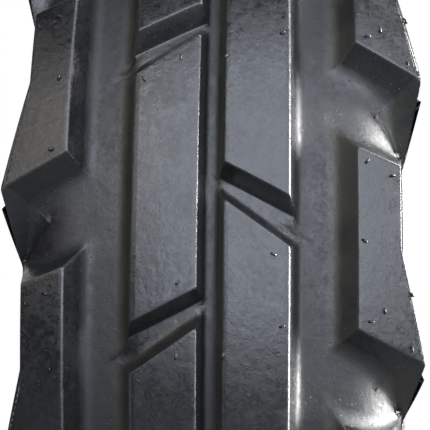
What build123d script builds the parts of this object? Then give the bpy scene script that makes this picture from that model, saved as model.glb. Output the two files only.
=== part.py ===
"""Implement tyre for a farm trailer or baler: tubeless, bias ply, size 10.0/75-15.3.

The wheel centre is the origin and the tyre spins about +Y. Outlines are drawn in the
plane through the axle, where a point is (y, r): the distance along the axle and the
distance from it. Every layer of the casing follows one centre line at its own offset,
so neighbouring layers share the same curve and meet face to face.
"""
import os
from math import acos, asin, atan, atan2, cos, degrees, hypot, radians, sin, sqrt, tan

from build123d import *

# Overall size, free of the rim, with the beads closer together than the rim will hold them
outer_radius = 380.0
sidewall_width = 226.0
rim_radius = 194.3
bead_heel_half_width = 92.0

# Casing centre line: a crown arc, a side arc, a straight wall, a turn under the bead
ply_count = 4
ply = 1.0
pack = ply_count * ply / 2
crown_arc_radius = 330.0
crown_arc_height = 353.0
crown_arc_span = 14.0
side_cover = 3.4
scuff_rib = 1.0

# Bead
core_radius = 5.0
wrap = 0.7
flipper = 0.7
chafer = 1.0
seat_cover = 1.6
apex_height = 45.0
seat_width = 17.0
heel_radius = 6.0
toe_width = 4.0
toe_lift = 2.3
flange_point = (93.4, 213.0)
flange_straight_top = 210.5
chafer_outer_end = 232.0
chafer_inner_end = 222.0
rim_line_height = 236.0
rim_line_width = 5.0
rim_line_rise = 1.6

# Layers
liner = 2.0
breaker = 1.2
breaker_inner_span = 13.0
breaker_outer_span = 11.0
tread_base_top = pack + 2 * breaker + 2.6
tread_base_end = 50.0
tread_joint = 22.0

# Tread pattern: one lug and one rib block per pitch on each side
pitches = 14
crown_radius = 420.0
tread_depth = 17.0
rib_inner = 7.3
rib_outer = 42.4
centre_groove_depth = 14.0
centre_draft = tan(radians(16))
rib_draft = tan(radians(25))
groove_root_radius = 7.0
shoulder_root_radius = 40.0
lug_inner = 81.0
lug_outer = 104.8
lug_foot = 119.6
lug_top = 87.0
lug_top_slope = 0.40
lug_bottom = -16.2
lug_bottom_slope = 0.54
lug_flare_start = 29.6
lug_edge_drafts = [tan(radians(angle)) for angle in (31, 21, -5.5, 38.3, 37, 25)]
web_start = 115.7
web_slope = 1.01
shoulder_break = 120.0
notch_top = 76.1
notch_top_slope = 0.52
notch_bottom = 54.1
notch_bottom_slope = 0.715
notch_depth = 12.0
notch_drafts = [0.62, 0.0, 0.35, 0.0]
left_side_lead = 100.3


def unit(angle):
    """Direction at an angle from +Y, in degrees, turning towards the tread."""
    return cos(radians(angle)), sin(radians(angle))


def along(start, direction, distance):
    return start[0] + direction[0] * distance, start[1] + direction[1] * distance


def line(start, end):
    return Line((0, *start), (0, *end))


def arc(centre, radius, first, last):
    points = [along(centre, unit(a), radius) for a in (first, (first + last) / 2, last)]
    return ThreePointArc(*[(0, *p) for p in points])


def chain(points):
    return [line(a, b) for a, b in zip(points, points[1:])]


def ring(edges, both_sides=False):
    """Solid of revolution about the axle from a closed outline."""
    if both_sides:
        edges = edges + [edge.mirror(Plane.XZ) for edge in edges]
    return revolve(make_face(edges), Axis.Y, 360)


# Casing centre line, worked out from the sizes above
crown_centre = (0.0, crown_arc_height - crown_arc_radius)
crown_end = 90 - crown_arc_span
outer_offset = pack + side_cover
widest = sidewall_width / 2 - scuff_rib - outer_offset
side_arc_radius = (widest - crown_arc_radius * sin(radians(crown_arc_span))) / (
    1 - sin(radians(crown_arc_span)))
side_centre = along(crown_centre, unit(crown_end), crown_arc_radius - side_arc_radius)

core_offset = core_radius + wrap + flipper
turn_radius = core_offset + pack
bead_centre = (bead_heel_half_width - core_offset - 2 * pack - chafer - seat_cover,
               rim_radius + core_offset + 2 * pack + chafer + seat_cover)
across = side_centre[0] - bead_centre[0]
above = side_centre[1] - bead_centre[1]
wall_lean = degrees(atan2(above, -across) - acos((side_arc_radius + turn_radius) / hypot(across, above)))
turn_up_lean = wall_lean - 2 * degrees(atan(core_offset / apex_height))
wall_down = unit(-90 - wall_lean)
turn_up = unit(90 - turn_up_lean)
turn_up_side = unit(-turn_up_lean)

outer_side_radius = side_arc_radius + outer_offset
flange_reach = hypot(flange_point[0] - side_centre[0], flange_point[1] - side_centre[1])
outer_lean = -degrees(atan2(flange_point[1] - side_centre[1], flange_point[0] - side_centre[0])
                      + acos(outer_side_radius / flange_reach))


def on_wall(offset, height):
    """Point of the straight wall at an offset from the centre line and a distance from the axle."""
    top = along(side_centre, unit(-wall_lean), side_arc_radius + offset)
    return along(top, wall_down, (top[1] - height) / cos(radians(wall_lean)))


def on_turn_up(offset, distance):
    return along(along(bead_centre, turn_up_side, turn_radius - offset), turn_up, distance)


def on_turn_up_at(offset, height):
    foot = on_turn_up(offset, 0)
    return along(foot, turn_up, (height - foot[1]) / turn_up[1])


def on_outer_wall(height):
    lean = radians(outer_lean)
    reach = outer_side_radius + (height - side_centre[1]) * sin(lean)
    return side_centre[0] + reach / cos(lean), height


def crown_line(offset, end_height):
    """Edges from the middle of the crown round the side and down the wall."""
    wall_top = along(side_centre, unit(-wall_lean), side_arc_radius + offset)
    return [arc(crown_centre, crown_arc_radius + offset, 90, crown_end),
            arc(side_centre, side_arc_radius + offset, crown_end, -wall_lean),
            line(wall_top, on_wall(offset, end_height))]


def bead_turn(offset):
    return arc(bead_centre, turn_radius - offset, 180 - wall_lean, 360 - turn_up_lean)


def bead_start(offset):
    return along(bead_centre, unit(180 - wall_lean), turn_radius - offset)


def body_ply(number):
    """One ply from bead to bead, with both ends turned up round the bead cores."""
    faces = (-pack + ply * number, -pack + ply * (number - 1))
    edges = [line(on_turn_up(faces[0], apex_height), on_turn_up(faces[1], apex_height))]
    for face in faces:
        edges += crown_line(face, bead_start(face)[1])
        edges += [bead_turn(face), line(on_turn_up(face, 0), on_turn_up(face, apex_height))]
    return ring(edges, both_sides=True)


def inner_liner():
    edges = crown_line(-pack, chafer_inner_end) + crown_line(-pack - liner, chafer_inner_end)
    edges.append(line(on_wall(-pack, chafer_inner_end), on_wall(-pack - liner, chafer_inner_end)))
    return ring(edges, both_sides=True)


def breaker_strip(layer, span):
    low = crown_arc_radius + pack + breaker * layer
    high = low + breaker
    end = unit(90 - span)
    edges = [arc(crown_centre, low, 90, 90 - span), arc(crown_centre, high, 90, 90 - span),
             line(along(crown_centre, end, low), along(crown_centre, end, high))]
    return ring(edges, both_sides=True)


def tread_base():
    """Rubber cushion over the breakers, stepped round their edges."""
    steps = [crown_arc_radius + pack + breaker * layer for layer in (2, 1, 0)]
    spans = [0, breaker_outer_span, breaker_inner_span, crown_arc_span]
    edges = []
    for radius, start, end in zip(steps, spans, spans[1:]):
        edges.append(arc(crown_centre, radius, 90 - start, 90 - end))
    for upper, lower, span in zip(steps, steps[1:], spans[1:]):
        edges.append(line(along(crown_centre, unit(90 - span), upper),
                          along(crown_centre, unit(90 - span), lower)))
    for offset in (pack, tread_base_top):
        edges.append(arc(side_centre, side_arc_radius + offset, crown_end, tread_base_end))
    edges.append(line(along(side_centre, unit(tread_base_end), side_arc_radius + pack),
                      along(side_centre, unit(tread_base_end), side_arc_radius + tread_base_top)))
    edges.append(arc(crown_centre, crown_arc_radius + tread_base_top, 90, crown_end))
    return ring(edges, both_sides=True)


def face_radius(y):
    """Distance of the tread's face from the axle."""
    return outer_radius - crown_radius + sqrt(crown_radius ** 2 - y ** 2)


def on_face(y, depth=0.0):
    """Point at a depth below the tread's face, measured along the face's own radius."""
    lean = asin(y / crown_radius)
    reach = crown_radius - depth
    return reach * sin(lean), outer_radius - crown_radius + reach * cos(lean)


def face_arc(first, last, depth):
    angles = [90 - degrees(asin(y / crown_radius)) for y in (first, last)]
    return arc((0, outer_radius - crown_radius), crown_radius - depth, *angles)


def tread_inside():
    """Edges where the tread meets the tread base, the casing and the sidewall."""
    end = unit(tread_base_end)
    return [arc(crown_centre, crown_arc_radius + tread_base_top, 90, crown_end),
            arc(side_centre, side_arc_radius + tread_base_top, crown_end, tread_base_end),
            line(along(side_centre, end, side_arc_radius + tread_base_top),
                 along(side_centre, end, side_arc_radius + pack)),
            arc(side_centre, side_arc_radius + pack, tread_base_end, tread_joint),
            line(along(side_centre, unit(tread_joint), side_arc_radius + pack),
                 along(side_centre, unit(tread_joint), outer_side_radius))]


def tread_floor():
    """Revolved floor of the tread, with its two centre ribs still uncut."""
    floor_centre = (0, outer_radius - crown_radius)
    floor_radius = crown_radius - tread_depth
    outward = unit(tread_joint)
    upward = unit(tread_joint + 90)
    joint = along(side_centre, outward, outer_side_radius)
    low = along(joint, outward, -shoulder_root_radius)
    gap = (low[0] - floor_centre[0], low[1] - floor_centre[1])
    slope = gap[0] * upward[0] + gap[1] * upward[1]
    reach = floor_radius - shoulder_root_radius
    rise = -slope + sqrt(slope ** 2 - gap[0] ** 2 - gap[1] ** 2 + reach ** 2)
    root = along(low, upward, rise)
    root_end = degrees(atan2(root[1] - floor_centre[1], root[0]))
    wall_foot = on_face(rib_outer + tread_depth * rib_draft, tread_depth)
    foot_angle = degrees(atan2(wall_foot[1] - floor_centre[1], wall_foot[0]))
    groove_foot = on_face(rib_inner - centre_groove_depth * centre_draft, centre_groove_depth)
    edges = tread_inside() + [
        line(joint, along(root, outward, shoulder_root_radius)),
        arc(root, shoulder_root_radius, tread_joint, root_end),
        arc(floor_centre, floor_radius, root_end, foot_angle),
        line(wall_foot, on_face(rib_outer)),
        face_arc(rib_outer, rib_inner, 0),
        line(on_face(rib_inner), groove_foot),
        arc(floor_centre, crown_radius - centre_groove_depth,
            degrees(atan2(groove_foot[1] - floor_centre[1], groove_foot[0])), 90)]
    profile = make_face(edges + [edge.mirror(Plane.XZ) for edge in edges])
    feet = [v for v in profile.vertices() if hypot(abs(v.Y) - wall_foot[0], v.Z - wall_foot[1]) < 0.01]
    return revolve(fillet(feet, groove_root_radius), Axis.Y, 360)


def lug_envelope():
    """Everything between the tread's inside and the lugs' faces and flanks."""
    joint = along(side_centre, unit(tread_joint), outer_side_radius)
    edges = tread_inside() + [line(joint, on_face(shoulder_break)), face_arc(shoulder_break, 0, 0)]
    return ring(edges, both_sides=True)


def spread(outline, amounts):
    """Moves each side of an outline outwards by its own amount."""
    count = len(outline)
    middle = (sum(p[0] for p in outline) / count, sum(p[1] for p in outline) / count)
    sides = []
    for index, amount in enumerate(amounts):
        a, b = outline[index], outline[(index + 1) % count]
        normal = (b[1] - a[1], a[0] - b[0])
        length = hypot(*normal)
        normal = (normal[0] / length, normal[1] / length)
        if normal[0] * (middle[0] - a[0]) + normal[1] * (middle[1] - a[1]) > 0:
            normal = (-normal[0], -normal[1])
        sides.append((normal, normal[0] * a[0] + normal[1] * a[1] + amount))
    corners = []
    for index in range(count):
        (n1, c1), (n2, c2) = sides[index - 1], sides[index]
        area = n1[0] * n2[1] - n1[1] * n2[0]
        corners.append(((c1 * n2[1] - c2 * n1[1]) / area, (n1[0] * c2 - n2[0] * c1) / area))
    return corners


def drafted_block(outline, drafts, y, depth, rise):
    """Block with drafted sides, standing on the tread's face at distance y from its middle."""
    lean = asin(y / crown_radius)
    place = Plane(origin=(face_radius(y), y, 0), x_dir=(-sin(lean), cos(lean), 0),
                  z_dir=(cos(lean), sin(lean), 0))
    local = [((p[0] - y) / cos(lean), p[1] * face_radius(y) / outer_radius) for p in outline]
    layers = []
    for height in (-depth, rise):
        corners = spread(local, [-height * draft for draft in drafts])
        layers.append([place.from_local_coords((x, z, height)) for x, z in corners])
    low, high = layers
    sides = [(low[index - 1], low[index], high[index], high[index - 1]) for index in range(len(low))]
    return Solid(Shell([make_face(Polyline(*face, close=True)) for face in [low, high] + sides]))


def turned(distance):
    """Angle in degrees that a distance round the tread's face takes."""
    return degrees(distance / outer_radius)


def both_rows(block, distance):
    """Copies of a block for every pitch, on the right and leading on the left."""
    pitch_angle = 360 / pitches
    right = block.rotate(Axis.Y, -turned(distance))
    left = block.mirror(Plane.XZ).rotate(Axis.Y, -turned(distance + left_side_lead))
    return [part.rotate(Axis.Y, index * pitch_angle) for index in range(pitches) for part in (right, left)]


def shoulder_lugs():
    middle = (lug_top + lug_bottom) / 2
    web = lug_bottom - lug_bottom_slope * (web_start - lug_inner)
    outline = [(lug_inner, lug_top),
               (lug_outer, lug_top - lug_top_slope * (lug_outer - lug_inner)),
               (lug_outer, lug_flare_start),
               (lug_foot, web - web_slope * (lug_foot - web_start)),
               (web_start, web),
               (lug_inner, lug_bottom)]
    outline = [(y, distance - middle) for y, distance in outline]
    block = drafted_block(outline, lug_edge_drafts, 92.0, 40.0, 8.0)
    return both_rows(block & lug_envelope(), middle)


def rib_notches():
    middle = (notch_top + notch_bottom) / 2
    edges = (2.0, 54.0)
    top = [notch_top - notch_top_slope * (y - rib_inner) - middle for y in edges]
    bottom = [notch_bottom - notch_bottom_slope * (y - rib_inner) - middle for y in edges]
    outline = [(edges[0], top[0]), (edges[1], top[1]), (edges[1], bottom[1]), (edges[0], bottom[0])]
    block = drafted_block(outline, [-draft for draft in notch_drafts], 25.0, notch_depth, 4.0)
    return both_rows(block, middle)


def tread():
    """Moulded cap: two cut centre ribs, two wide grooves and two rows of shoulder lugs."""
    return tread_floor() - rib_notches() + shoulder_lugs()


def sidewall():
    joint = unit(tread_joint)
    tip = on_turn_up(pack, apex_height)
    wall_top = along(side_centre, unit(-wall_lean), side_arc_radius + pack)
    scuff = (6.0, -6.0)
    rim_line = [on_outer_wall(rim_line_height + rim_line_width * part) for part in (1, 0.5, 0)]
    rim_line[1] = along(rim_line[1], unit(-outer_lean), rim_line_rise)
    edges = [line(along(side_centre, joint, side_arc_radius + pack), along(side_centre, joint, outer_side_radius)),
             arc(side_centre, side_arc_radius + pack, tread_joint, -wall_lean),
             line(wall_top, tip),
             line(tip, on_turn_up(-pack, apex_height)),
             line(on_turn_up(-pack, apex_height), on_turn_up_at(-pack, chafer_outer_end)),
             line(on_turn_up_at(-pack, chafer_outer_end), on_outer_wall(chafer_outer_end)),
             line(on_outer_wall(chafer_outer_end), rim_line[2]),
             ThreePointArc(*[(0, *p) for p in reversed(rim_line)]),
             line(rim_line[0], along(side_centre, unit(-outer_lean), outer_side_radius)),
             arc(side_centre, outer_side_radius, -outer_lean, scuff[1]),
             arc(side_centre, outer_side_radius + scuff_rib, scuff[1], scuff[0]),
             arc(side_centre, outer_side_radius, scuff[0], tread_joint)]
    for angle in scuff:
        edges.append(line(along(side_centre, unit(angle), outer_side_radius),
                          along(side_centre, unit(angle), outer_side_radius + scuff_rib)))
    return ring(edges)


def bead_core():
    """Hexagonal bundle of wires, with a flat side on the rim's seat."""
    corners = [along(bead_centre, unit(60 * index), core_radius) for index in range(7)]
    return ring(chain(corners))


def annulus(inner, outer):
    middle = Plane(origin=(0, *bead_centre), x_dir=(0, 1, 0), z_dir=(1, 0, 0))
    return revolve(middle * (Circle(outer) - Circle(inner)), Axis.Y, 360)


def bead_wrap():
    middle = Plane(origin=(0, *bead_centre), x_dir=(0, 1, 0), z_dir=(1, 0, 0))
    outline = middle * (Circle(core_radius + wrap) - RegularPolygon(core_radius, 6))
    return revolve(outline, Axis.Y, 360)


def apex():
    """Hard filler wedge above the bead core, between a ply's wall and its turned up end."""
    tip = on_turn_up(pack, apex_height)
    edges = [arc(bead_centre, core_offset, -turn_up_lean, 180 - wall_lean),
             line(bead_start(pack), tip), line(tip, on_turn_up(pack, 0))]
    return ring(edges)


def chafer_strip():
    """Fabric strip that wraps the bead where it rubs on the rim."""
    edges = []
    for face in (-pack, -pack - chafer):
        edges += [line(on_turn_up_at(face, chafer_outer_end), on_turn_up(face, 0)), bead_turn(face),
                  line(bead_start(face), on_wall(face, chafer_inner_end))]
    for end in (lambda face: on_turn_up_at(face, chafer_outer_end), lambda face: on_wall(face, chafer_inner_end)):
        edges.append(line(end(-pack), end(-pack - chafer)))
    return ring(edges)


def rim_cushion():
    """Rubber foot of the bead: flange face, heel, seat and toe."""
    inside = -pack - liner
    outside = -pack - chafer
    toe_side = 197.0
    seat_outer = bead_heel_half_width - heel_radius
    seat_inner = bead_heel_half_width - heel_radius - seat_width
    turn = arc(bead_centre, turn_radius - inside, 180 - wall_lean, toe_side)
    edges = [line(on_wall(outside, chafer_inner_end), on_wall(inside, chafer_inner_end)),
             line(on_wall(inside, chafer_inner_end), bead_start(inside)), turn]
    edges += chain([along(bead_centre, unit(toe_side), turn_radius - inside),
                    (seat_inner - toe_width, rim_radius + toe_lift), (seat_inner, rim_radius),
                    (seat_outer, rim_radius)])
    edges.append(arc((seat_outer, rim_radius + heel_radius), heel_radius, -90, 0))
    edges += chain([(bead_heel_half_width, rim_radius + heel_radius),
                    (bead_heel_half_width, flange_straight_top), flange_point,
                    on_outer_wall(chafer_outer_end), on_turn_up_at(outside, chafer_outer_end),
                    on_turn_up(outside, 0)])
    edges += [bead_turn(outside), line(bead_start(outside), on_wall(outside, chafer_inner_end))]
    return ring(edges)


def write(name, solid):
    export_step(solid, f"parts/{name}.step")


os.makedirs("parts", exist_ok=True)
write("tread", tread())
write("tread_base", tread_base())
write("breaker_outer", breaker_strip(1, breaker_outer_span))
write("breaker_inner", breaker_strip(0, breaker_inner_span))
for number in range(1, ply_count + 1):
    write(f"body_ply_{number}", body_ply(number))
write("inner_liner", inner_liner())
one_side = {"sidewall": sidewall(), "bead_core": bead_core(), "bead_wrap": bead_wrap(),
            "flipper": annulus(core_radius + wrap, core_offset), "apex": apex(),
            "chafer": chafer_strip(), "rim_cushion": rim_cushion()}
for name, right in one_side.items():
    write(f"{name}_right", right)
    write(f"{name}_left", right.mirror(Plane.XZ))
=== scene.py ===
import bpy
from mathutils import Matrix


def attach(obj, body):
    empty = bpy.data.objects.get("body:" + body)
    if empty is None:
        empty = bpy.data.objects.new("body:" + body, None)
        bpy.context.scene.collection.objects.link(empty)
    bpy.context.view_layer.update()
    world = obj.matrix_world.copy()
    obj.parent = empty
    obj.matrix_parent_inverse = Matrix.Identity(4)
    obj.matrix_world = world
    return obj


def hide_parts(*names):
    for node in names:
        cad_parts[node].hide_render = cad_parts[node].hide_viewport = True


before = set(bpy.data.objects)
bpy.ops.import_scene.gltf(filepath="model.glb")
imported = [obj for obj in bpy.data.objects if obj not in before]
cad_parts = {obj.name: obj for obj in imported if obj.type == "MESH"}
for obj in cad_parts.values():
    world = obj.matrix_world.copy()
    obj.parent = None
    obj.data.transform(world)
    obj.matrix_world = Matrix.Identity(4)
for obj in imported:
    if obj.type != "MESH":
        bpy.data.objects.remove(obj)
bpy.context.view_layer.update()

from math import atan2, cos, hypot, pi, radians, sin, tan

import bmesh
import bpy
import numpy as np
from mathutils import Euler, Vector

# ---------------------------------------------------------------- camera
# The photograph looks at the tread from one side, a little above the axle.
camera = bpy.data.objects.new("camera", bpy.data.cameras.new("camera"))
camera.location = (1.1521, 0.028, 0.0)
camera.rotation_euler = Euler([radians(angle) for angle in (93.335, -0.463, 91.852)])
camera.data.angle = radians(17.107)
camera.data.clip_start = 0.01
bpy.context.scene.collection.objects.link(camera)
bpy.context.scene.camera = camera
bpy.context.scene.view_settings.view_transform = "Standard"


# ---------------------------------------------------------------- studio
# A wide soft box behind the camera, a small window on its right, a strong box low on the right that
# shines in through the gaps between the lugs, one high behind and a warm fill on the left. The room is
# white to the camera and through glass; gloss mirrors that white where it stands, behind the tyre. The
# floor looks pale to the camera and sends little light back up.
def soft_box(name, place, aim, size, power, colour):
    """A rectangular area lamp that points at a place."""
    lamp = bpy.data.objects.new(name, bpy.data.lights.new(name, "AREA"))
    lamp.data.shape = "RECTANGLE"
    lamp.data.size, lamp.data.size_y = size
    lamp.data.energy = power
    lamp.data.color = colour
    lamp.location = place
    lamp.rotation_euler = (Vector(aim) - Vector(place)).to_track_quat("-Z", "Y").to_euler()
    bpy.context.scene.collection.objects.link(lamp)


soft_box("front_box", (2.0, 0.3, 0.75), (0.38, 0.0, 0.0), (1.9, 2.5), 44, (0.81, 0.87, 1.0))
soft_box("window", (1.15, 1.5, 0.35), (0.36, 0.08, 0.0), (0.5, 1.3), 11, (0.97, 0.98, 1.0))
soft_box("right_box", (0.24, 2.0, 0.0), (0.36, 0.0, 0.0), (0.5, 1.8), 260, (1.0, 1.0, 0.99))
soft_box("high_box", (-0.5, 1.2, 1.7), (0.3, 0.08, 0.0), (0.9, 0.9), 40, (1.0, 0.99, 1.0))
soft_box("left_fill", (1.7, -1.0, 0.9), (0.36, 0.0, 0.0), (1.0, 1.4), 6, (1.0, 0.94, 0.84))


def tree_node(tree, kind, values=(), **settings):
    """A new node with its settings, and its inputs given values or linked from other nodes."""
    node = tree.nodes.new(kind)
    for name, value in settings.items():
        setattr(node, name, value)
    for name, value in dict(values).items():
        if isinstance(value, bpy.types.NodeSocket):
            tree.links.new(value, node.inputs[name])
        else:
            node.inputs[name].default_value = value
    return node


world = bpy.data.worlds.new("studio")
world.use_nodes = True
bpy.context.scene.world = world
room = world.node_tree
room.nodes.clear()
backdrop_direction = (-0.77, 0.47, 0.43)
ray = tree_node(room, "ShaderNodeLightPath")
direction = tree_node(room, "ShaderNodeTexCoord").outputs["Generated"]
towards = tree_node(room, "ShaderNodeVectorMath", {0: direction, 1: backdrop_direction}, operation="DOT_PRODUCT")
backdrop = tree_node(room, "ShaderNodeMapRange",
                     {"Value": towards.outputs["Value"], "From Min": 0.1, "From Max": 0.85},
                     interpolation_type="SMOOTHSTEP")
mirrored = tree_node(room, "ShaderNodeMath", {0: ray.outputs["Is Glossy Ray"], 1: backdrop.outputs["Result"]},
                     operation="MULTIPLY")
through = tree_node(room, "ShaderNodeMath",
                    {0: ray.outputs["Is Camera Ray"], 1: ray.outputs["Is Transmission Ray"]},
                    operation="MAXIMUM")
shown = tree_node(room, "ShaderNodeMath", {0: through.outputs[0], 1: mirrored.outputs[0]}, operation="MAXIMUM")
dim = tree_node(room, "ShaderNodeBackground", {"Color": (0.94, 0.97, 1, 1), "Strength": 0.02})
white = tree_node(room, "ShaderNodeBackground", {"Color": (1, 1, 1, 1), "Strength": 1.0})
around = tree_node(room, "ShaderNodeMixShader", {0: shown.outputs[0], 1: dim.outputs[0], 2: white.outputs[0]})
tree_node(room, "ShaderNodeOutputWorld", {"Surface": around.outputs[0]})

floor_radius, floor_height, floor_corners = 1.6, -0.3801, 64
floor_mesh = bpy.data.meshes.new("floor")
floor_angles = [k * 2 * pi / floor_corners for k in range(floor_corners)]
floor_mesh.from_pydata([(floor_radius * cos(a), floor_radius * sin(a), floor_height) for a in floor_angles], [],
                       [tuple(range(floor_corners))])
floor = bpy.data.objects.new("floor", floor_mesh)
bpy.context.scene.collection.objects.link(floor)
pale = bpy.data.materials.new("pale_floor")
pale.use_nodes = True
pale_tree = pale.node_tree
pale_shader = pale_tree.nodes["Principled BSDF"]
pale_ray = tree_node(pale_tree, "ShaderNodeLightPath")
pale_colour = tree_node(pale_tree, "ShaderNodeMix",
                        {0: pale_ray.outputs["Is Camera Ray"], 6: (0.07, 0.07, 0.07, 1), 7: (0.86, 0.86, 0.86, 1)},
                        data_type="RGBA")
pale_tree.links.new(pale_colour.outputs[2], pale_shader.inputs["Base Color"])
pale_shader.inputs["Roughness"].default_value = 0.7
floor_mesh.materials.append(pale)


# ---------------------------------------------------------------- tread
# The moulded cap: two centre ribs cut by slanted notches and two rows of shoulder lugs, all one
# piece of vulcanised rubber. One pitch of both sides is meshed and repeated round the axle.
outer_radius, crown_radius, pitches, steps_per_pitch = 380.0, 420.0, 14, 34
step = 2 * pi * outer_radius / pitches / steps_per_pitch
pitch, left_lead = steps_per_pitch * step, 20 * step
tread_depth, rim_of_tread, tread_joint = 17.0, (109.0358, 324.1882), radians(22)
side_centre, side_radius, widest_lug, corner_round = (71.2926, 308.9390), 35.3074, 118.9, 1.3


def on_tread(y, round_it, depth):
    """Places in metres from distances across, round and below the tread's face in millimetres."""
    lean, reach = np.arcsin(y / crown_radius), crown_radius - depth
    radius, angle = outer_radius - crown_radius + reach * np.cos(lean), round_it / outer_radius
    return np.stack([radius * np.cos(angle), reach * np.sin(lean), radius * np.sin(angle)], -1) * 0.001


def face_place(y, r):
    """Distance across and below the tread's face of a point of the outline."""
    high = r + crown_radius - outer_radius
    return crown_radius * sin(atan2(y, high)), crown_radius - hypot(y, high)


def shoulder_outline():
    """Depth of the floor between the lugs: level, then a round shoulder, then straight to the sidewall."""
    root, outward = 40.0, (cos(tread_joint), sin(tread_joint))
    upward = (-outward[1], outward[0])
    low = [rim_of_tread[k] - outward[k] * root for k in (0, 1)]
    gap = (low[0], low[1] - (outer_radius - crown_radius))
    slope = gap[0] * upward[0] + gap[1] * upward[1]
    rise = -slope + (slope ** 2 - gap[0] ** 2 - gap[1] ** 2 + (crown_radius - tread_depth - root) ** 2) ** 0.5
    middle = [low[k] + upward[k] * rise for k in (0, 1)]
    start = atan2(middle[1] + crown_radius - outer_radius, middle[0])
    angles = np.linspace(start, tread_joint, 24)
    points = [face_place(middle[0] + root * cos(a), middle[1] + root * sin(a)) for a in angles]
    return np.array([(0.0, tread_depth)] + points + [face_place(*rim_of_tread)])


shoulder = shoulder_outline()
shoulder_edge = shoulder[-1][0]


def beyond(y, round_it, start, end, draft):
    """Depth at which a wall that leaves the edge from start to end reaches a place beside it."""
    length = hypot(end[0] - start[0], end[1] - start[1])
    out = ((end[1] - start[1]) / length, (start[0] - end[0]) / length)
    return ((y - start[0]) * -out[0] + (round_it - start[1]) * -out[1]) / draft


def lug_depth(y, round_it):
    """Depth of a lug's own walls at places beside it, below zero on its face."""
    walls = [beyond(y, round_it, lug["corners"][k], lug["corners"][(k + 1) % 6], lug["drafts"][k])
             for k in (0, 1, 3, 4, 5)]
    flare = beyond(y, round_it, lug["corners"][2], lug["corners"][3], 1.0)
    outside = np.minimum(walls[1], np.where(flare < 0, -1.0, 60.0))
    return np.maximum.reduce([walls[0], outside, walls[4], np.minimum(walls[2], walls[3])])


def lug_floor(y, round_it):
    """Depth of the floor round a lug, up to the walls of the lugs before and behind it."""
    others = np.minimum(lug_depth(y, round_it + pitch), lug_depth(y, round_it - pitch))
    return np.minimum(np.interp(y, shoulder[:, 0], shoulder[:, 1]), others)


def rib_floor(y, round_it):
    """Depth of the floor beside a centre rib: the narrow groove, the shallower notch, the wide groove."""
    return np.interp(y, (2.9, 4.2, 46.4, 47.4, 49.0, 49.8), (14.0, 12.0, 12.0, 12.5, 16.6, tread_depth))


def plan_loop(block, offset, rounding):
    """A closed line round a block seen from above, moved outwards from each side by its offset."""
    corners, sides = np.array(block["corners"]), len(block["corners"])
    along = np.roll(corners, -1, 0) - corners
    along /= np.linalg.norm(along, axis=1)[:, None]
    out = np.stack([-along[:, 1], along[:, 0]], -1)
    reach = (out * corners).sum(1) + offset
    points, facing, share = [], [], []
    for k in range(sides):
        nxt = (k + 1) % sides
        meet, end = [np.linalg.solve(np.stack([out[i - 1], out[i]]), (reach[i - 1], reach[i])) for i in (k, nxt)]
        trims = [rounding * block["round"][i] * tan(np.arccos(np.clip(along[i - 1] @ along[i], -1, 1)) / 2)
                 for i in (k, nxt)]
        first, last = meet - along[k - 1] * trims[0], meet + along[k] * trims[0]
        for u in np.arange(block["turns"][k]) / block["turns"][k]:
            points.append(first * (1 - u) ** 2 + meet * 2 * u * (1 - u) + last * u ** 2)
            between = out[k - 1] * (1 - u) + out[k] * u
            facing.append(between / max(between @ out[k - 1], between @ out[k]))
            share.append(np.eye(sides)[k - 1] * (1 - u) + np.eye(sides)[k] * u)
        stop = end - along[k] * trims[1]
        for u in np.arange(block["runs"][k]) / block["runs"][k]:
            points.append(last + (stop - last) * u)
            facing.append(out[k])
            share.append(np.eye(sides)[k])
    return np.array(points), np.array(facing), np.array(share)


def flank_clamp(plan, depth):
    """Keeps a wall inside the tread's outer flank."""
    limit = widest_lug + (shoulder_edge - widest_lug) * np.clip(depth / shoulder[-1][1], 0, 1)
    return np.stack([np.minimum(plan[..., 0], limit), plan[..., 1]], -1)


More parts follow.
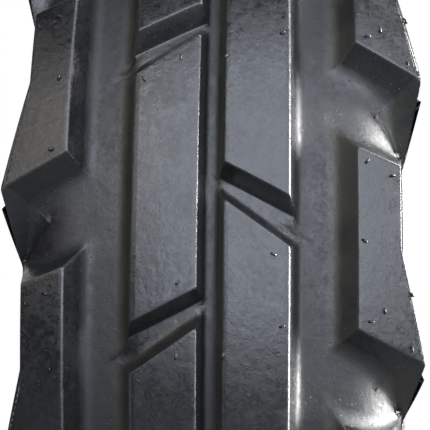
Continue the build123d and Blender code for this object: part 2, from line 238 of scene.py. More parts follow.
def block_rings(block):
    """Rings of points from a block's face over its edge, down its walls and out to the cell's border."""
    drafts, edges, depths = np.array(block["drafts"]), np.array(block["edges"]), np.linspace(0, 44, 89)
    plans = np.array([flank_clamp(plan_loop(block, drafts * d, corner_round + 0.02 * d)[0], d) for d in depths])
    plan, facing, share = plan_loop(block, drafts * 0, corner_round)
    count, index, edge = len(plan), np.arange(len(plan)), share @ edges
    clear = block["floor"](plans[..., 0], plans[..., 1]) - depths[:, None]
    below = np.argmax(clear <= 0, axis=0)
    over, under = clear[below - 1, index], clear[below, index]
    hit = depths[below - 1] + over / (over - under) * depths[1]

    def wall(depth):
        place = depth / depths[1]
        low = np.minimum(place.astype(int), len(depths) - 2)
        mix = (place - low)[:, None]
        return plans[low, index] * (1 - mix) + plans[low + 1, index] * mix

    def floor_at(plan_here):
        return block["floor"](plan_here[:, 0], plan_here[:, 1])

    foot, draft = wall(hit), share @ drafts
    slope = (floor_at(foot + 0.5 * facing) - floor_at(foot)) / 0.5
    down = np.stack([draft, np.ones(count)], -1) / np.hypot(draft, 1)[:, None]
    away = np.stack([np.ones(count), slope], -1) / np.hypot(1, slope)[:, None]
    inside = np.arccos(np.clip(-(down * away).sum(1), -1, 1))
    fillet = np.minimum((share @ np.array(block["fillets"])) / np.tan(inside / 2), hit * 0.6)
    fillet = fillet * np.clip((shoulder_edge - foot[:, 0]) / 6.0, 0.02, 1)
    border = border_line(block)
    fillet = np.minimum(fillet, 0.8 * np.linalg.norm(border - foot, axis=1))
    rings = [(plan_loop(block, -edges - 0.8, corner_round)[0], np.zeros(count)),
             (plan_loop(block, -edges, corner_round)[0], 0.15 * edge)]
    face_side, wall_side = rings[-1][0], wall(edge)
    for u in (0.33, 0.67, 1.0):
        rings.append((face_side * (1 - u) ** 2 + plan * 2 * u * (1 - u) + wall_side * u ** 2, edge * u ** 2))
    top = hit - fillet * down[:, 1]
    for depth in (edge + 0.8, top):
        rings.append((wall(depth), depth))
    start, toe = wall(top), foot + facing * (fillet * away[:, 0])[:, None]
    toe_depth = hit + slope * fillet * away[:, 0]
    for u in (0.25, 0.5, 0.75, 1.0):
        ideal = top * (1 - u) ** 2 + hit * 2 * u * (1 - u) + toe_depth * u ** 2
        plan_here = flank_clamp(start * (1 - u) ** 2 + foot * 2 * u * (1 - u) + toe * u ** 2, ideal)
        rings.append((plan_here, ideal + u * (floor_at(toe) - toe_depth)))
    for u in (0.5, 1.0):
        plan_here = toe * (1 - u) + border * u
        depth = floor_at(plan_here)
        if block is lug:
            depth = np.minimum(depth, lug_depth(plan_here[:, 0], plan_here[:, 1]))
        rings.append((plan_here, depth))
    return rings


# Per ring, from the face out to the border: how much it is lightened (rubbing plus a painted edge highlight) and
# how much of a wall it is
edge_wear_and_highlight = [0.0, -1.0, 0.8, 1.0, 0.5] + [0.0] * 8
wall_share = [0.0, 0.0, 0.0, 0.0, 0.6, 0.8, 1.0, 1.0, 1.0, 0.9, 0.8, 0.3, 0.05]


def border_line(block):
    """The cell's border: straight runs along the grooves and a bent line across each gap between blocks."""
    bends = np.array(block["border"])
    y = np.array([bends[0, 0]] + block["stations"] + [bends[-1, 0]])
    gap = np.stack([y, np.interp(y, bends[:, 0], bends[:, 1]) * step], -1)
    low = gap - (0, pitch)
    runs = np.linspace(0, 1, steps_per_pitch + 1)[:, None]
    outside = gap[-1] * (1 - runs) + low[-1] * runs
    inside = low[0] * (1 - runs) + gap[0] * runs
    line = np.concatenate([gap[:-1], outside[:-1], low[::-1][:-1], inside[:-1]])
    return np.roll(line, block["start"], 0)


lug = {"corners": [(81.0, 87.0), (104.8, 77.48), (104.8, 29.6), (118.8, -38.07), (115.7, -34.94), (81.0, -16.2)],
       "round": [1, 1, 12, 0.6, 4, 1], "turns": [4, 4, 2, 4, 2, 4], "runs": [12, 11, 17, 3, 7, 30],
       "drafts": [tan(radians(angle)) for angle in (31, 21, -5.5, 38.3, 37, 25)],
       "fillets": [13, 6, 6, 14, 14, 8], "edges": [0.8, 0.6, 0.6, 0.8, 0.6, 1.0], "floor": lug_floor, "start": 2,
       "stations": [66.0, 70.5, 75.0, 78.5, 82.0, 85.5, 89.0, 92.5, 96.0, 99.5, 103.0, 106.5, 110.0, 113.5, 117.0],
       "border": [(61.7, 25), (81, 23.7), (95, 22.4), (104.8, 21.3), (110, 20.4), (115, 19.6),
                  (shoulder_edge, 19.0)]}
rib = {"corners": [(7.3, 54.1), (43.4, 28.3), (43.4, -113.2), (7.3, -94.45)],
       "round": [1, 1, 1, 1], "turns": [4, 4, 4, 4], "runs": [6, 30, 6, 30],
       "drafts": [0.35, tan(radians(22)), 0.62, tan(radians(16))],
       "fillets": [7, 7, 1.5, 2.5], "edges": [0.6, 1.8, 0.6, 1.4], "floor": rib_floor, "start": 2,
       "stations": [2.9, 4.4, 11.0, 18.0, 25.0, 32.5, 40.0, 46.2, 49.8], "border": [(0.0, 14), (61.7, 6)]}


def face_patch(loop, across, down, first):
    """Fills a block's face with a grid between its four sides."""
    loop = np.roll(loop, -first, 0)
    top, right = loop[:across + 1], loop[across:across + down + 1]
    bottom = loop[across + down:2 * across + down + 1][::-1]
    left = np.concatenate([loop[2 * across + down:], loop[:1]])[::-1]
    u, v = np.linspace(0, 1, across + 1)[None, :, None], np.linspace(0, 1, down + 1)[:, None, None]
    corners = (top[0] * (1 - u) * (1 - v) + top[-1] * u * (1 - v)
               + bottom[0] * (1 - u) * v + bottom[-1] * u * v)
    return top[None] * (1 - v) + bottom[None] * v + left[:, None] * (1 - u) + right[:, None] * u - corners


def cell(block, down=steps_per_pitch):
    """Points and faces of one block with the floor round it."""
    rings, across = block_rings(block), len(block["stations"]) + 1
    count = len(rings[0][0])
    flat = np.concatenate([plan for plan, _ in rings])
    depth = np.concatenate([d for _, d in rings])
    faces = []
    for ring in range(len(rings) - 1):
        for k in range(count):
            a, b = ring * count + k, ring * count + (k + 1) % count
            faces.append((a, b, b + count, a + count))
    grid = face_patch(rings[0][0], across, down, block["start"])
    start = len(flat)
    for row in range(down):
        for column in range(across):
            a = start + row * (across + 1) + column
            faces.append((a, a + 1, a + across + 2, a + across + 1))
    inside = np.zeros(grid.shape[0] * grid.shape[1])
    wear_and_highlight = np.concatenate([np.repeat(edge_wear_and_highlight, count), inside])
    facing = plan_loop(block, 0, corner_round)[1]
    aside = np.concatenate([np.outer(wall_share, facing[:, 0]).ravel(), inside])
    return np.concatenate([flat, grid.reshape(-1, 2)]), np.concatenate([depth, inside]), (wear_and_highlight, aside), faces


def tread_pitch():
    """One pitch of the tread: both rows of blocks and the smooth inside, as one mesh."""
    places, faces, wear_and_highlight, hollow, painted_warm_light = [], [], [], [], []
    for block in (lug, rib):
        flat, depth, (rubbed_and_highlit, aside), quads = cell(block)
        for side, lead in ((1, 0.0), (-1, left_lead)):
            start = sum(len(part) for part in places)
            places.append(on_tread(side * flat[:, 0], flat[:, 1] + lead, depth))
            faces += [tuple(start + k for k in (quad if side > 0 else quad[::-1])) for quad in quads]
            wear_and_highlight.append(rubbed_and_highlit)
            hollow.append(np.clip(depth / 13.0, 0, 1))
            # Painted light: walls that face -y, towards the warm fill lamp, are marked for a warm brownish tint
            # that stands for light falling from that side.
            painted_warm_light.append(np.clip(-1.6 * side * aside - 0.6, 0, 1))
    over_plies, over_base, inside_radius, crown_height = 2, 7, 337, 23
    path = [rim_of_tread]
    for cover, angles in ((over_plies, (22, 36, 50)), (over_base, (50, 76))):
        path += [(side_centre[0] + (side_radius + cover) * cos(a), side_centre[1] + (side_radius + cover) * sin(a))
                 for a in np.radians(angles)]
    path += [(inside_radius * cos(a), crown_height + inside_radius * sin(a)) for a in np.radians((80, 85, 90))]
    path = np.array(path + [(-y, r) for y, r in path[-2::-1]])
    start = sum(len(part) for part in places)
    angles = np.arange(steps_per_pitch + 1) * step / outer_radius
    rows = [np.stack([path[:, 1] * cos(a), path[:, 0], path[:, 1] * sin(a)], -1) * 0.001 for a in angles]
    places += rows
    width = len(path)
    for row in range(steps_per_pitch):
        for k in range(width - 1):
            a = start + row * width + k
            faces.append((a, a + 1, a + width + 1, a + width))
    mesh = bpy.data.meshes.new("tread_pitch")
    mesh.from_pydata(np.concatenate(places).tolist(), [], faces)
    for name, values in (("worn_and_highlit_edge", wear_and_highlight), ("hollow", hollow), ("painted_warm_light", painted_warm_light)):
        values = np.concatenate(values)
        values = np.concatenate([values, np.ones(len(mesh.vertices) - len(values)) * (name == "hollow")])
        mesh.attributes.new(name, "FLOAT", "POINT").data.foreach_set("value", values)
    return mesh


def round_the_axle(name):
    """Repeats a mesh round the axle, joins the copies where they touch and gives them a material."""
    tree = bpy.data.node_groups.new(name, "GeometryNodeTree")
    for label, kind in (("Pitch", "NodeSocketGeometry"), ("Copies", "NodeSocketInt"),
                        ("Join Distance", "NodeSocketFloat"), ("Rubber", "NodeSocketMaterial")):
        tree.interface.new_socket(label, in_out="INPUT", socket_type=kind)
    tree.interface.new_socket("Ring", in_out="OUTPUT", socket_type="NodeSocketGeometry")
    given = tree.nodes.new("NodeGroupInput").outputs
    spots = tree_node(tree, "GeometryNodePoints", {"Count": given["Copies"]})
    part = tree_node(tree, "ShaderNodeMath", {0: 2 * pi, 1: given["Copies"]}, operation="DIVIDE")
    turn = tree_node(tree, "ShaderNodeMath", {0: tree.nodes.new("GeometryNodeInputIndex").outputs[0],
                                              1: part.outputs[0]}, operation="MULTIPLY")
    spin = tree_node(tree, "ShaderNodeCombineXYZ", {"Y": turn.outputs[0]})
    copies = tree_node(tree, "GeometryNodeInstanceOnPoints",
                       {"Points": spots.outputs[0], "Instance": given["Pitch"], "Rotation": spin.outputs[0]})
    real = tree_node(tree, "GeometryNodeRealizeInstances", {"Geometry": copies.outputs[0]})
    joined = tree_node(tree, "GeometryNodeMergeByDistance",
                       {"Geometry": real.outputs[0], "Distance": given["Join Distance"]})
    dressed = tree_node(tree, "GeometryNodeSetMaterial",
                        {"Geometry": joined.outputs[0], "Material": given["Rubber"]})
    tree.links.new(dressed.outputs[0], tree.nodes.new("NodeGroupOutput").inputs[0])
    return tree


def grown(name, mesh, tree, **inputs):
    """A plain mesh object made by a node tree from a starting mesh."""
    seed = bpy.data.objects.new(name + "_seed", mesh)
    bpy.context.scene.collection.objects.link(seed)
    modifier = seed.modifiers.new("grow", "NODES")
    modifier.node_group = tree
    sockets = {item.name: item.identifier for item in tree.interface.items_tree if item.in_out == "INPUT"}
    for label, value in inputs.items():
        modifier[sockets[label.replace("_", " ")]] = value
    result = bpy.data.meshes.new_from_object(seed.evaluated_get(bpy.context.evaluated_depsgraph_get()))
    result.name = name
    seed.modifiers.clear()
    bpy.data.objects.remove(seed)
    piece = bpy.data.objects.new(name, result)
    bpy.context.scene.collection.objects.link(piece)
    return piece


def face_outwards(mesh):
    """Turns every face outwards and shades the mesh smooth."""
    work = bmesh.new()
    work.from_mesh(mesh)
    bmesh.ops.dissolve_degenerate(work, dist=1e-6, edges=work.edges)
    bmesh.ops.recalc_face_normals(work, faces=work.faces)
    work.to_mesh(mesh)
    work.free()
    mesh.polygons.foreach_set("use_smooth", [True] * len(mesh.polygons))


def rubber(name, colour, roughness, warm_light_amount=0.0, edge_light_and_wear=0.0, peel=0.00012, specks=0.0):
    """Moulded black rubber: cloudy colour, a fine skin, specks in the hollows, painted warm light on walls facing
    -y, and edges lightened for rubbing and as a painted highlight.
    """
    paint = bpy.data.materials.new(name)
    paint.use_nodes = True
    tree = paint.node_tree
    shader = tree.nodes["Principled BSDF"]
    place = tree_node(tree, "ShaderNodeTexCoord").outputs["Object"]

    def noise(scale, detail=2.0, distortion=0.0):
        settings = {"Vector": place, "Scale": scale, "Detail": detail, "Distortion": distortion}
        return tree_node(tree, "ShaderNodeTexNoise", settings).outputs["Fac"]

    def spread(value, low, high, to_low=0.0, to_high=1.0):
        settings = {"Value": value, "From Min": low, "From Max": high, "To Min": to_low, "To Max": to_high}
        return tree_node(tree, "ShaderNodeMapRange", settings).outputs["Result"]

    def maths(operation, first, second):
        return tree_node(tree, "ShaderNodeMath", {0: first, 1: second}, operation=operation).outputs[0]

    def times(first, second):
        return maths("MULTIPLY", first, second)

    def blend(share, first, second):
        return tree_node(tree, "ShaderNodeMix", {0: share, 6: first, 7: second}, data_type="RGBA").outputs[2]

    def marked(attribute):
        return tree_node(tree, "ShaderNodeAttribute", attribute_name=attribute).outputs["Fac"]

    # Colours of the painted warm light on walls facing -y, and of the edges, which are lightened for rubbing and as
    # a painted highlight.
    warm_light_colour, rubbed_and_highlight_colour = (0.075, 0.07, 0.052, 1), (0.2, 0.205, 0.215, 1)
    speck_colour = (0.11, 0.11, 0.115, 1)
    darker, lighter = [(*[part * share for part in colour], 1) for share in (0.8, 1.2)]
    skin = blend(spread(noise(22.0, 3.0, 0.6), 0.35, 0.65), darker, lighter)
    hollow = marked("hollow")
    # Painted light: a patchy warm brownish tint, also rougher, on the walls marked as facing -y, standing for the
    # warm fill's light on them.
    warm_light_patches = times(spread(noise(30.0, 3.0, 1.0), 0.3, 0.62, 0.35, 1.0), marked("painted_warm_light"))
    skin = blend(times(warm_light_patches, warm_light_amount), skin, warm_light_colour)
    # Partly rubbing, partly painted highlight: the rounding of the blocks' edges is lightened towards a pale grey.
    scuffed = spread(noise(160.0, 2.0), 0.3, 0.6, 0.4, 1.0)
    skin = blend(times(times(spread(marked("worn_and_highlit_edge"), 0.0, 1.0), scuffed), edge_light_and_wear), skin, rubbed_and_highlight_colour)
    pips = tree_node(tree, "ShaderNodeTexVoronoi", {"Vector": place, "Scale": 420.0}, feature="F1")
    chosen = tree_node(tree, "ShaderNodeSeparateColor", {"Color": pips.outputs["Color"]}).outputs["Red"]
    ragged = maths("ADD", pips.outputs["Distance"], times(noise(1500.0, 1.0), 0.35))
    pip = times(spread(ragged, 0.25, 0.42, 1.0, 0.0), spread(chosen, 0.78, 0.9))
    pip = times(pip, spread(hollow, 0.0, 1.0, 0.3, 1.0))
    skin = blend(times(pip, 0.5 * specks), skin, speck_colour)
    tree.links.new(skin, shader.inputs["Base Color"])
    patchy = maths("ADD", times(noise(60.0, 3.0, 0.8), 0.4), times(noise(210.0, 5.0, 1.6), 0.6))
    sheen = spread(patchy, 0.36, 0.64, roughness - 0.12, roughness + 0.12)
    matter = maths("MAXIMUM", times(warm_light_patches, 0.3 * warm_light_amount), spread(hollow, 0.9, 1.0, 0.0, 0.22))
    tree.links.new(maths("ADD", sheen, matter), shader.inputs["Roughness"])
    shader.inputs["Specular IOR Level"].default_value = 1.0
    fine = tree_node(tree, "ShaderNodeBump",
                     {"Height": noise(800.0, 4.0, 0.8), "Distance": peel * 0.4, "Strength": 1.0})
    waves = tree_node(tree, "ShaderNodeBump", {"Height": noise(190.0, 2.0), "Distance": peel, "Strength": 1.0,
                                               "Normal": fine.outputs[0]})
    bumps = tree_node(tree, "ShaderNodeBump", {"Height": pip, "Distance": 0.0003 * specks, "Strength": 1.0,
                                               "Normal": waves.outputs[0]})
    tree.links.new(bumps.outputs[0], shader.inputs["Normal"])
    return paint


tread_rubber = rubber("tread_rubber_finish", (0.012, 0.0125, 0.014), 0.3, warm_light_amount=0.7, edge_light_and_wear=0.3, peel=0.00026,
                     specks=1.0)
tread = grown("tread_blocks", tread_pitch(), round_the_axle("tread_ring"),
              Copies=pitches, Join_Distance=2e-5, Rubber=tread_rubber)
face_outwards(tread.data)
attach(tread, "root")
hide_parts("tread")


# ---------------------------------------------------------------- vent spews
# Short curled stubs of tread rubber left by the air vents of the mould on the faces of the blocks.
# They are one with the tread; a row of them per pitch is repeated round the axle.
right_spews = [(86.7, -12.3), (110.9, 2.4), (110.3, -27), (85.3, 77.8), (101, 71.3),
               (83.2, 33.3), (95.4, -7.4), (7.8, -30), (38.3, -15.3), (35.4, 23.8)]
left_spews = [(102, 67.5), (87.8, 28.3), (88.6, -14.9), (91.6, 72.2), (38, 24.2), (18, 39.5), (17.9, -92.8)]
spew_places = [(1, y, s) for y, s in right_spews] + [(-1, y, s) for y, s in left_spews]
spew_path = np.array([(0, -0.5), (0, 0.5), (0.7, 1.2), (1.7, 1.5), (2.7, 1.1)])
spew_radii = (0.95, 0.8, 0.7, 0.6, 0.4)


def spew_pitch(sides=7):
    """The spews of one pitch: each a tapering stub that rises from the face and curls over."""
    places, faces, rings = [], [], len(spew_path)
    turn = np.arange(sides) * 2 * pi / sides
    for number, (side, y, round_it) in enumerate(spew_places):
        heading, tall = 2.4 * number, np.interp(y, (20, 35, 60), (0.2, 0.7, 1.0))
        lead = left_lead if side < 0 else 0
        for k, (along, up) in enumerate(spew_path):
            ahead = spew_path[min(k + 1, rings - 1)] - spew_path[max(k - 1, 0)]
            tilt = atan2(ahead[0], ahead[1])
            out = along + spew_radii[k] * np.cos(turn) * cos(tilt)
            across = spew_radii[k] * np.sin(turn)
            high = (up - spew_radii[k] * np.cos(turn) * sin(tilt)) * tall
            places.append(on_tread(side * y + out * cos(heading) - across * sin(heading),
                                   round_it + lead + out * sin(heading) + across * cos(heading), -high))
            start = (number * rings + k) * sides
            if k < rings - 1:
                faces += [(start + j, start + (j + 1) % sides, start + sides + (j + 1) % sides, start + sides + j)
                          for j in range(sides)]
        first = number * rings * sides
        faces += [tuple(range(start, start + sides)), tuple(range(first, first + sides))]
    mesh = bpy.data.meshes.new("spew_pitch")
    mesh.from_pydata(np.concatenate(places).tolist(), [], faces)
    return mesh


spew_rubber = rubber("spew_rubber_finish", (0.01, 0.01, 0.011), 0.3)
spews = grown("vent_spews", spew_pitch(), round_the_axle("spew_ring"),
              Copies=pitches, Join_Distance=1e-7, Rubber=spew_rubber)
face_outwards(spews.data)
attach(spews, "root")


# ---------------------------------------------------------------- tread base
# The cushion between the cap and the breakers: a softer, matt rubber, calendered in a flat strip and
# pressed on the breakers before the cap goes on.
def dress(paint, *names):
    """Gives pieces that keep their modelled shape a finish of their own."""
    for name in names:
        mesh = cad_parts[name].data
        if not mesh.materials:
            mesh.materials.append(paint)
        for k in range(len(mesh.materials)):
            mesh.materials[k] = paint


base_rubber = rubber("base_rubber_finish", (0.03, 0.03, 0.032), 0.6, peel=0.0003, specks=0.3)
dress(base_rubber, "tread_base")


# ---------------------------------------------------------------- breakers
# Two narrow strips of rubber coated nylon cord under the tread, laid on opposite bias so that the
# cords of one cross those of the other.
def round_and_across(tree):
    """Coordinates that follow the casing: angle and radius, and the way across the crown and down the walls."""
    crown_inside = 0.345
    place = tree_node(tree, "ShaderNodeTexCoord").outputs["Object"]
    part = tree_node(tree, "ShaderNodeSeparateXYZ", {0: place}).outputs

    def maths(operation, first, second=0.0):
        return tree_node(tree, "ShaderNodeMath", {0: first, 1: second}, operation=operation).outputs[0]

    angle = maths("ARCTAN2", part["Z"], part["X"])
    radius = maths("POWER", maths("ADD", maths("MULTIPLY", part["X"], part["X"]),
                                  maths("MULTIPLY", part["Z"], part["Z"])), 0.5)
    drop = maths("MULTIPLY", maths("SIGN", part["Y"]), maths("SUBTRACT", crown_inside, radius))
    return place, angle, radius, maths("ADD", part["Y"], drop), maths


def corded(name, coat, thread, spacing, turns, roughness=0.6):
    """Rubber coated cords: fine parallel threads on the bias that stand out through a thin dark coat."""
    paint = bpy.data.materials.new(name)
    paint.use_nodes = True
    tree = paint.node_tree
    shader = tree.nodes["Principled BSDF"]
    place, angle, _, across, maths = round_and_across(tree)
    ridge, layer_radius, per_metre = None, 0.34, 2 * pi / spacing
    for turn in turns:
        lie = maths("ADD", maths("MULTIPLY", across, cos(radians(turn)) * per_metre),
                    maths("MULTIPLY", angle, round(layer_radius * sin(radians(turn)) * per_metre)))
        wave = maths("ADD", maths("MULTIPLY", maths("SINE", lie), 0.5), 0.5)
        ridge = wave if ridge is None else maths("MAXIMUM", ridge, wave)
    clouds = tree_node(tree, "ShaderNodeTexNoise",
                       {"Vector": place, "Scale": 45.0, "Detail": 4.0, "Distortion": 0.5}).outputs["Fac"]
    fuzz = tree_node(tree, "ShaderNodeTexNoise", {"Vector": place, "Scale": 1400.0, "Detail": 2.0}).outputs["Fac"]
    thin = tree_node(tree, "ShaderNodeMapRange", {"Value": clouds, "From Min": 0.35, "From Max": 0.65,
                                                  "To Min": 0.35, "To Max": 0.95}).outputs["Result"]
    bare = maths("MULTIPLY", maths("MULTIPLY", ridge, ridge), maths("MULTIPLY", thin, maths("ADD", fuzz, 0.45)))
    colour = tree_node(tree, "ShaderNodeMix", {0: bare, 6: (*coat, 1), 7: (*thread, 1)}, data_type="RGBA")
    tree.links.new(colour.outputs[2], shader.inputs["Base Color"])
    finish = tree_node(tree, "ShaderNodeMapRange",
                       {"Value": bare, "To Min": roughness - 0.15, "To Max": roughness + 0.2})
    tree.links.new(finish.outputs["Result"], shader.inputs["Roughness"])
    height = maths("ADD", ridge, maths("MULTIPLY", fuzz, 0.3))
    bump = tree_node(tree, "ShaderNodeBump", {"Height": height, "Distance": spacing * 0.25, "Strength": 1.0})
    tree.links.new(bump.outputs[0], shader.inputs["Normal"])
    return paint


for strip, bias in (("breaker_outer", 62), ("breaker_inner", -62)):
    dress(corded(f"{strip}_finish", (0.02, 0.02, 0.021), (0.2, 0.17, 0.13), 0.0016, (bias,)), strip)


# ---------------------------------------------------------------- body plies
# Four layers of rubber coated nylon cord from bead to bead. Each lies on the bias against the next and
# is turned up round both bead cores when the casing is built.
for number, bias in enumerate((38, -38, 38, -38), 1):
    dress(corded(f"body_ply_{number}_finish", (0.018, 0.018, 0.019), (0.26, 0.22, 0.17), 0.0012, (bias,)),
          f"body_ply_{number}")


# ---------------------------------------------------------------- inner liner
# The airtight layer on the inside: a smooth rubber skin, cured with the casing, that keeps the faint
# grain of the curing bladder.
dress(rubber("liner_rubber_finish", (0.02, 0.02, 0.022), 0.42, peel=0.0004, specks=0.2), "inner_liner")


# ---------------------------------------------------------------- sidewalls
# Flexible outer rubber moulded on the plies: fine rings under the tread's edge, the scuff rib, thin
# rings half way down and the rim line. Each is turned round the axle from one closed outline.
def bow(centre, radius, first, last, count):
    """Points of an arc in the plane of the axle, from one angle to another in degrees."""
    angles = np.radians(np.linspace(first, last, count))
    return [(centre[0] + radius * cos(a), centre[1] + radius * sin(a)) for a in angles]


outer_side_radius, outer_lean, inner_lean = 40.7074, 11.4467, 21.0546
low_edge, rim_side = [(97.247, 232.0), (91.541, 232.0)], [(93.18, 251.256), (89.194, 251.596)]
rim_line = [(99.07, 241.0), (99.75, 240.1), (100.08, 239.0), (100.13, 238.18), (99.9, 237.4), (99.25, 236.6),
            (98.057, 236.0)]


def sidewall_outline():
    """The section of a sidewall, with rings standing proud of its outer face."""
    outer, lean, foot = outer_side_radius, radians(outer_lean), low_edge[0]
    points = bow(side_centre, side_radius + 2, -inner_lean, 22, 10)
    for angle in (18.5, 16.5, 14.5, 12.5):
        for off, proud in ((0.8, 0.0), (0.35, 0.55), (-0.35, 0.55), (-0.8, 0.0)):
            points += bow(side_centre, outer + proud, angle + off, angle + off, 1)
    for proud, first, last, count in (
            (0.0, 9.5, 6.8, 3), (0.25, 6.2, 6.2, 1), (0.95, 5.9, 5.0, 2), (1, 4.2, -4.2, 7),
            (0.95, -5.0, -5.9, 2), (0.25, -6.2, -6.2, 1), (0.0, -6.8, -outer_lean, 4)):
        points += bow(side_centre, outer + proud, first, last, count)
    for r in (290, 286, 282, 262, 252):
        points += [(foot[0] + (r + off - foot[1]) * tan(lean) + proud * cos(lean), r + off - proud * sin(lean))
                   for off, proud in ((1.0, 0.0), (0.45, 0.5), (-0.45, 0.5), (-1.0, 0.0))]
    return points + rim_line + low_edge + rim_side


def turned(name, outline, side, paint, around=252):
    """A closed outline in millimetres turned round the axle, on the left or right side of the tyre."""
    path, angles = np.array(outline) * 0.001, np.arange(around) * 2 * pi / around
    places = [np.stack([path[:, 1] * cos(a), side * path[:, 0], path[:, 1] * sin(a)], -1) for a in angles]
    width = len(path)
    faces = [(row * width + k, row * width + (k + 1) % width,
              (row + 1) % around * width + (k + 1) % width, (row + 1) % around * width + k)
             for row in range(around) for k in range(width)]
    mesh = bpy.data.meshes.new(name)
    mesh.from_pydata(np.concatenate(places).tolist(), [], faces)
    face_outwards(mesh)
    mesh.materials.append(paint)
    piece = bpy.data.objects.new(name, mesh)
    bpy.context.scene.collection.objects.link(piece)
    return piece


wall_rubber = rubber("sidewall_rubber_finish", (0.013, 0.013, 0.014), 0.36, peel=0.0002, specks=0.5)
for side_name, sign in (("left", -1), ("right", 1)):
    wall_piece = turned(f"sidewall_{side_name}_moulded", sidewall_outline(), sign, wall_rubber)
    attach(wall_piece, "root")
    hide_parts(f"sidewall_{side_name}")


# ---------------------------------------------------------------- rim cushions
# The feet of the tyre that sit on the rim: flange face, heel, seat and toe in a hard smooth rubber,
# moulded round the chafers.
dress(rubber("rim_rubber_finish", (0.014, 0.014, 0.015), 0.35, peel=0.0001, specks=0.2),
      "rim_cushion_left", "rim_cushion_right")


# ---------------------------------------------------------------- fabrics round the beads
# Square woven strips coated with rubber: the tape wound round each bundle of wire, the flipper folded
# round that, and the chafer laid outside the plies where the bead rubs on the rim.
for fabric, coat, thread, spacing, covers in (
        ("wrap", (0.02, 0.02, 0.02), (0.12, 0.11, 0.1), 0.0009, "bead_wrap"),
        ("flipper", (0.022, 0.021, 0.02), (0.16, 0.14, 0.12), 0.001, "flipper"),
        ("chafer", (0.016, 0.016, 0.016), (0.1, 0.09, 0.085), 0.0008, "chafer")):
    dress(corded(f"{fabric}_fabric_finish", coat, thread, spacing, (45, -45)), f"{covers}_left", f"{covers}_right")


# ---------------------------------------------------------------- apexes
# The filler wedges above the beads: hard rubber, extruded in a strip and bent round on the bead core
# before the plies are turned up.
dress(rubber("apex_rubber_finish", (0.036, 0.034, 0.033), 0.55, peel=0.00015, specks=0.2),
      "apex_left", "apex_right")


# ---------------------------------------------------------------- bead cores
# Hexagonal bundles of nineteen rings of bronze plated steel wire, wound and held by the wrap. They
# hold the tyre on its rim.
def wire_finish():
    """Bronze plated steel wire, bright with darker drawn streaks along the wire and rubber in places."""
    paint = bpy.data.materials.new("bead_wire_finish")
    paint.use_nodes = True
    tree = paint.node_tree
    shader = tree.nodes["Principled BSDF"]
    place, angle, radius, across, maths = round_and_across(tree)
    streaks_a_metre = 2500.0
    lie = tree_node(tree, "ShaderNodeCombineXYZ", {"X": maths("MULTIPLY", angle, 3.0),
                                                   "Y": maths("MULTIPLY", radius, streaks_a_metre),
                                                   "Z": maths("MULTIPLY", across, streaks_a_metre)}).outputs[0]
    streak = tree_node(tree, "ShaderNodeTexNoise", {"Vector": lie, "Scale": 1.0, "Detail": 4.0}).outputs["Fac"]
    stain = tree_node(tree, "ShaderNodeTexNoise", {"Vector": place, "Scale": 60.0, "Detail": 3.0}).outputs["Fac"]
    dull = tree_node(tree, "ShaderNodeMapRange", {"Value": stain, "From Min": 0.55, "From Max": 0.7})
    bright = tree_node(tree, "ShaderNodeMix", {0: streak, 6: (0.5, 0.41, 0.27, 1), 7: (0.72, 0.62, 0.45, 1)},
                       data_type="RGBA")
    colour = tree_node(tree, "ShaderNodeMix",
                       {0: dull.outputs["Result"], 6: bright.outputs[2], 7: (0.2, 0.16, 0.11, 1)}, data_type="RGBA")
    tree.links.new(colour.outputs[2], shader.inputs["Base Color"])
    finish = tree_node(tree, "ShaderNodeMapRange", {"Value": streak, "To Min": 0.22, "To Max": 0.5})
    tree.links.new(finish.outputs["Result"], shader.inputs["Roughness"])
    shader.inputs["Metallic"].default_value = 1.0
    bump = tree_node(tree, "ShaderNodeBump", {"Height": streak, "Distance": 0.00003, "Strength": 1.0})
    tree.links.new(bump.outputs[0], shader.inputs["Normal"])
    return paint


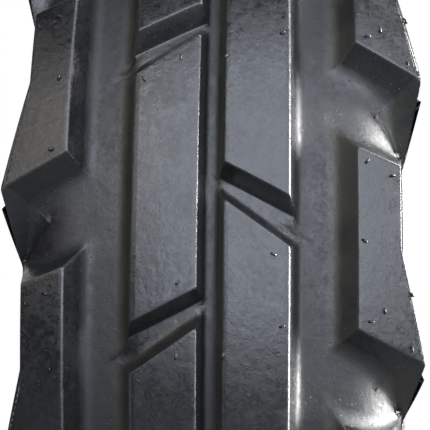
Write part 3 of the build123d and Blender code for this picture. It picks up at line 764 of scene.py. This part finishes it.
def wire_rings():
    """Node tree: a ring of round wire about the axle through each point, with the point's own radius."""
    tree = bpy.data.node_groups.new("wire_rings", "GeometryNodeTree")
    for label, kind in (("Bundle", "NodeSocketGeometry"), ("Wire Radius", "NodeSocketFloat"),
                        ("Ring Segments", "NodeSocketInt"), ("Finish", "NodeSocketMaterial")):
        tree.interface.new_socket(label, in_out="INPUT", socket_type=kind)
    tree.interface.new_socket("Rings", in_out="OUTPUT", socket_type="NodeSocketGeometry")
    given = tree.nodes.new("NodeGroupInput").outputs
    spots = tree_node(tree, "GeometryNodeMeshToPoints", {"Mesh": given["Bundle"]})
    circle = tree_node(tree, "GeometryNodeCurvePrimitiveCircle",
                       {"Resolution": given["Ring Segments"], "Radius": 1.0})
    reach = tree_node(tree, "GeometryNodeInputNamedAttribute", {"Name": "reach"}, data_type="FLOAT")
    rings = tree_node(tree, "GeometryNodeInstanceOnPoints",
                      {"Points": spots.outputs[0], "Instance": circle.outputs[0],
                       "Rotation": (pi / 2, 0.0, 0.0), "Scale": reach.outputs["Attribute"]})
    real = tree_node(tree, "GeometryNodeRealizeInstances", {"Geometry": rings.outputs[0]})
    section = tree_node(tree, "GeometryNodeCurvePrimitiveCircle",
                        {"Resolution": 8, "Radius": given["Wire Radius"]})
    wires = tree_node(tree, "GeometryNodeCurveToMesh",
                      {"Curve": real.outputs[0], "Profile Curve": section.outputs[0]})
    dressed = tree_node(tree, "GeometryNodeSetMaterial",
                        {"Geometry": wires.outputs[0], "Material": given["Finish"]})
    tree.links.new(dressed.outputs[0], tree.nodes.new("NodeGroupOutput").inputs[0])
    return tree


def bundle(side, bead=(79.0, 207.3), gap=1.92):
    """Nineteen points packed in a hexagon at one bead, each with its distance from the axle."""
    packed = [(gap * (column - 0.5 * (row % 2)), gap * 0.75 ** 0.5 * row)
              for row in range(-2, 3) for column in range(-2, 4)]
    kept = [(y, r) for y, r in packed if hypot(y, r) < 2.02 * gap]
    mesh = bpy.data.meshes.new("bead_bundle")
    mesh.from_pydata([(0.0, side * (bead[0] + y) * 0.001, 0.0) for y, _ in kept], [], [])
    reach = mesh.attributes.new("reach", "FLOAT", "POINT")
    reach.data.foreach_set("value", [(bead[1] + r) * 0.001 for _, r in kept])
    return mesh


plated, ring_tree = wire_finish(), wire_rings()
for side_name, sign in (("left", -1), ("right", 1)):
    core = grown(f"bead_core_{side_name}_wires", bundle(sign), ring_tree,
                 Wire_Radius=0.00096, Ring_Segments=160, Finish=plated)
    face_outwards(core.data)
    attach(core, "root")
    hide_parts(f"bead_core_{side_name}")
